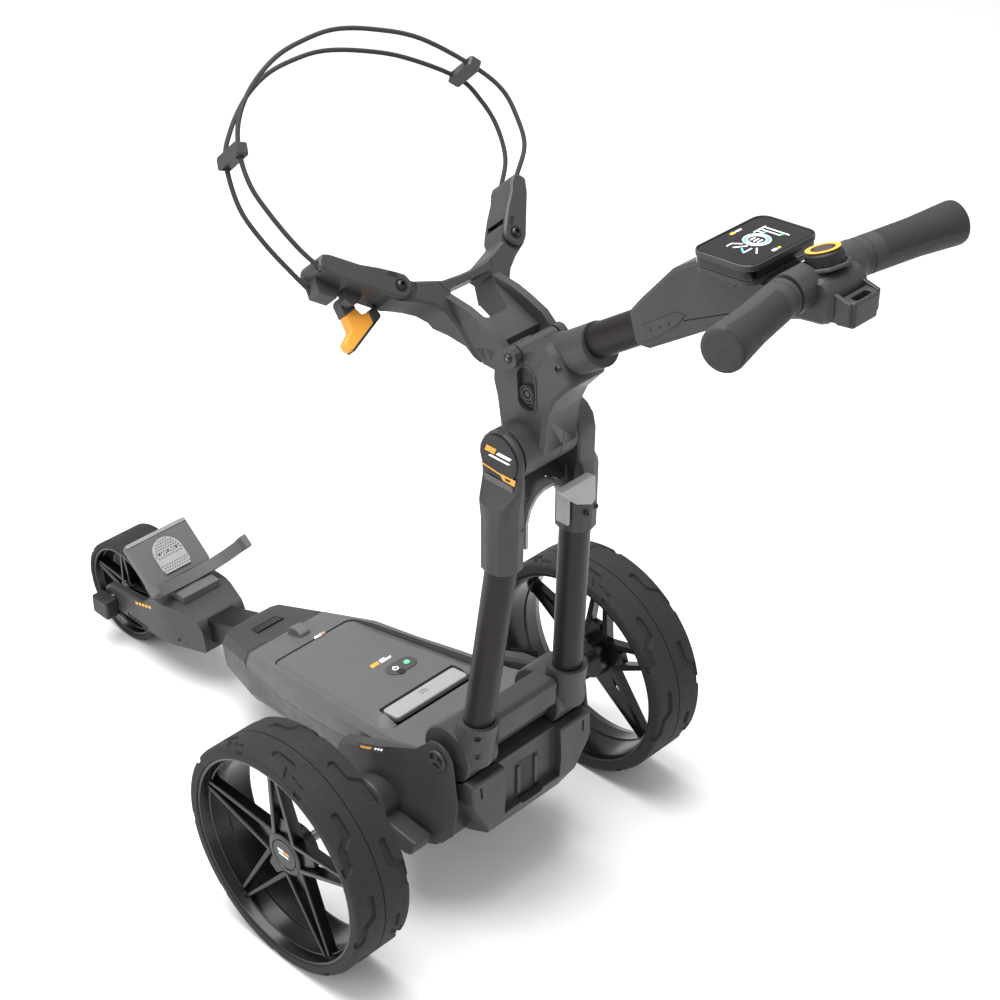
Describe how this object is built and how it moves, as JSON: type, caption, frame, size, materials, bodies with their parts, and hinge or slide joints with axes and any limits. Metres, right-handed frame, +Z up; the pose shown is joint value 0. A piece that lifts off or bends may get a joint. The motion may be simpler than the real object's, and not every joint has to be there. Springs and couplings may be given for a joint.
{
  "type": "electric golf trolley",
  "caption": "Folding powered golf bag trolley with two driven rear wheels, a front wheel, a lift-out battery and a bag bracket with an elastic strap.",
  "frame": {"origin": "on the ground, under the middle of the trolley's overall length and width", "axes": "+Y the direction of travel, along the overall length; +X the user's right; +Z up"},
  "size_m": [0.566, 1.201, 0.9976],
  "materials": {
    "frame_plastic": "fine satin grain",
    "cover_plastic": "satin, a shade lighter",
    "tube_metal": "brown-black powder coat",
    "tyre_rubber": "matte",
    "rim_gloss": "gloss black",
    "grip_rubber": "moulded grip",
    "screen_glass": "gloss black display window",
    "accent_orange": "orange",
    "lever_grey": "light grey",
    "steel": "plain steel",
    "board_green": "circuit board",
    "cord_elastic": "sheathed elastic cord"
  },
  "bodies": {
    "chassis": {"chassis_tray": "frame_plastic", "base_cover": "cover_plastic", "nose_housing": "frame_plastic", "left_fairing": "frame_plastic", "right_fairing": "frame_plastic", "rear_housing": "frame_plastic", "leg_pivot_pin": "frame_plastic", "drive_motor": "steel", "controller_board": "board_green", "battery_socket": "rim_gloss", "front_tube": "tube_metal", "front_fork": "frame_plastic", "cradle_plate": "cover_plastic", "cradle_pad": "lever_grey", "cradle_arms": "cover_plastic", "front_axle": "steel"},
    "battery": {"battery_case": "cover_plastic"},
    "battery_bail": {"battery_handle": "lever_grey"},
    "power_button": {"power_button": "frame_plastic"},
    "drive_axle": {"rear_axle": "steel", "drive_gear": "steel", "left_tyre": "tyre_rubber", "left_rim": "rim_gloss", "right_tyre": "tyre_rubber", "right_rim": "rim_gloss"},
    "pinion": {"motor_pinion": "steel"},
    "front_wheel": {"front_tyre": "tyre_rubber", "front_rim": "rim_gloss"},
    "wheel_release": {"wheel_release": "frame_plastic"},
    "rear_catch": {"rear_catch": "lever_grey"},
    "legs": {"left_socket": "frame_plastic", "right_socket": "frame_plastic", "leg_saddle": "frame_plastic", "left_leg_tube": "tube_metal", "right_leg_tube": "tube_metal", "leg_yoke": "frame_plastic", "barrel_pin": "steel", "badge_plate": "frame_plastic"},
    "fold_lever": {"fold_lever": "lever_grey"},
    "handle": {"head_housing": "frame_plastic", "handle_tube": "tube_metal", "console_housing": "frame_plastic", "display_unit": "screen_glass", "handle_bar": "steel", "left_grip": "grip_rubber", "right_grip": "grip_rubber", "accessory_mount": "frame_plastic", "bracket_pin": "steel"},
    "speed_knob": {"speed_knob": "frame_plastic"},
    "knob_button": {"knob_button": "lever_grey"},
    "bag_bracket": {"bag_bracket": "frame_plastic", "upper_strap": "cord_elastic", "lower_strap": "cord_elastic", "left_clip": "frame_plastic", "right_clip": "frame_plastic"},
    "left_arm": {"left_arm": "frame_plastic"},
    "right_arm": {"right_arm": "frame_plastic"},
    "strap_lever": {"strap_lever": "accent_orange"}
  },
  "joints": [
    {"name": "axle_spin", "type": "hinge", "parent": "chassis", "child": "drive_axle", "pos_m": [0, -0.0855, 0.145], "axis": [1, 0, 0], "continuous": true},
    {"name": "pinion_spin", "type": "hinge", "parent": "chassis", "child": "pinion", "pos_m": [0, -0.0955, 0.1104], "axis": [1, 0, 0], "continuous": true},
    {"name": "front_wheel_spin", "type": "hinge", "parent": "chassis", "child": "front_wheel", "pos_m": [0, 0.527, 0.0735], "axis": [1, 0, 0], "continuous": true},
    {"name": "wheel_release_pull", "type": "slide", "parent": "chassis", "child": "wheel_release", "axis": [-1, 0, 0], "range_m": [0, 0.006], "stiffness_N_per_m": 400},
    {"name": "rear_catch_press", "type": "slide", "parent": "chassis", "child": "rear_catch", "axis": [0, 0, -1], "range_m": [0, 0.006], "stiffness_N_per_m": 300, "springref_m": -0.002},
    {"name": "battery_lift", "type": "slide", "parent": "chassis", "child": "battery", "axis": [0, 0, 1], "range_m": [0, 0.12]},
    {"name": "battery_handle_lift", "type": "hinge", "parent": "battery", "child": "battery_bail", "pos_m": [0, -0.026, 0.1965], "axis": [-1, 0, 0], "range_deg": [0, 90]},
    {"name": "power_button_press", "type": "slide", "parent": "battery", "child": "power_button", "axis": [0, 0, -1], "range_m": [0, 0.0015], "stiffness_N_per_m": 500, "springref_m": -0.002},
    {"name": "leg_fold", "type": "hinge", "parent": "chassis", "child": "legs", "pos_m": [0, -0.1745, 0.243], "axis": [-1, 0, 0], "range_deg": [0, 88]},
    {"name": "handle_fold", "type": "hinge", "parent": "legs", "child": "handle", "pos_m": [0, -0.2203, 0.6388], "axis": [-1, 0, 0], "range_deg": [-95, 0]},
    {"name": "fold_lever_squeeze", "type": "hinge", "parent": "legs", "child": "fold_lever", "pos_m": [0, -0.2268, 0.5835], "axis": [-1, 0, 0], "range_deg": [0, 12], "stiffness_Nm_per_rad": 0.5, "springref_deg": -11.46},
    {"name": "speed_knob_turn", "type": "hinge", "parent": "handle", "child": "speed_knob", "pos_m": [0, -0.5547, 0.9583], "axis": [0, 0.342, 0.9397], "continuous": true},
    {"name": "knob_button_press", "type": "slide", "parent": "speed_knob", "child": "knob_button", "axis": [0, -0.342, -0.9397], "range_m": [0, 0.0015], "stiffness_N_per_m": 500, "springref_m": -0.002},
    {"name": "bracket_fold", "type": "hinge", "parent": "handle", "child": "bag_bracket", "pos_m": [0, -0.2134, 0.7439], "axis": [-1, 0, 0], "range_deg": [-75, 0]},
    {"name": "left_arm_swing", "type": "hinge", "parent": "bag_bracket", "child": "left_arm", "pos_m": [-0.0812, -0.10532, 0.80097], "axis": [0, -0.7431, 0.6691], "range_deg": [-15, 15], "deforming": ["upper_strap", "lower_strap"]},
    {"name": "right_arm_swing", "type": "hinge", "parent": "bag_bracket", "child": "right_arm", "pos_m": [0.0812, -0.10532, 0.80097], "axis": [0, -0.7431, 0.6691], "range_deg": [-15, 15], "deforming": ["upper_strap", "lower_strap"]},
    {"name": "strap_lever_turn", "type": "hinge", "parent": "left_arm", "child": "strap_lever", "pos_m": [-0.128, -0.09823, 0.80885], "axis": [0, -0.7431, 0.6691], "range_deg": [-60, 0]}
  ],
  "couplings": [
    {"joint": "pinion_spin", "follows": "axle_spin", "ratio": -4},
    {"joint": "leg_fold", "follows": "handle_fold", "ratio": -0.926}
  ]
}
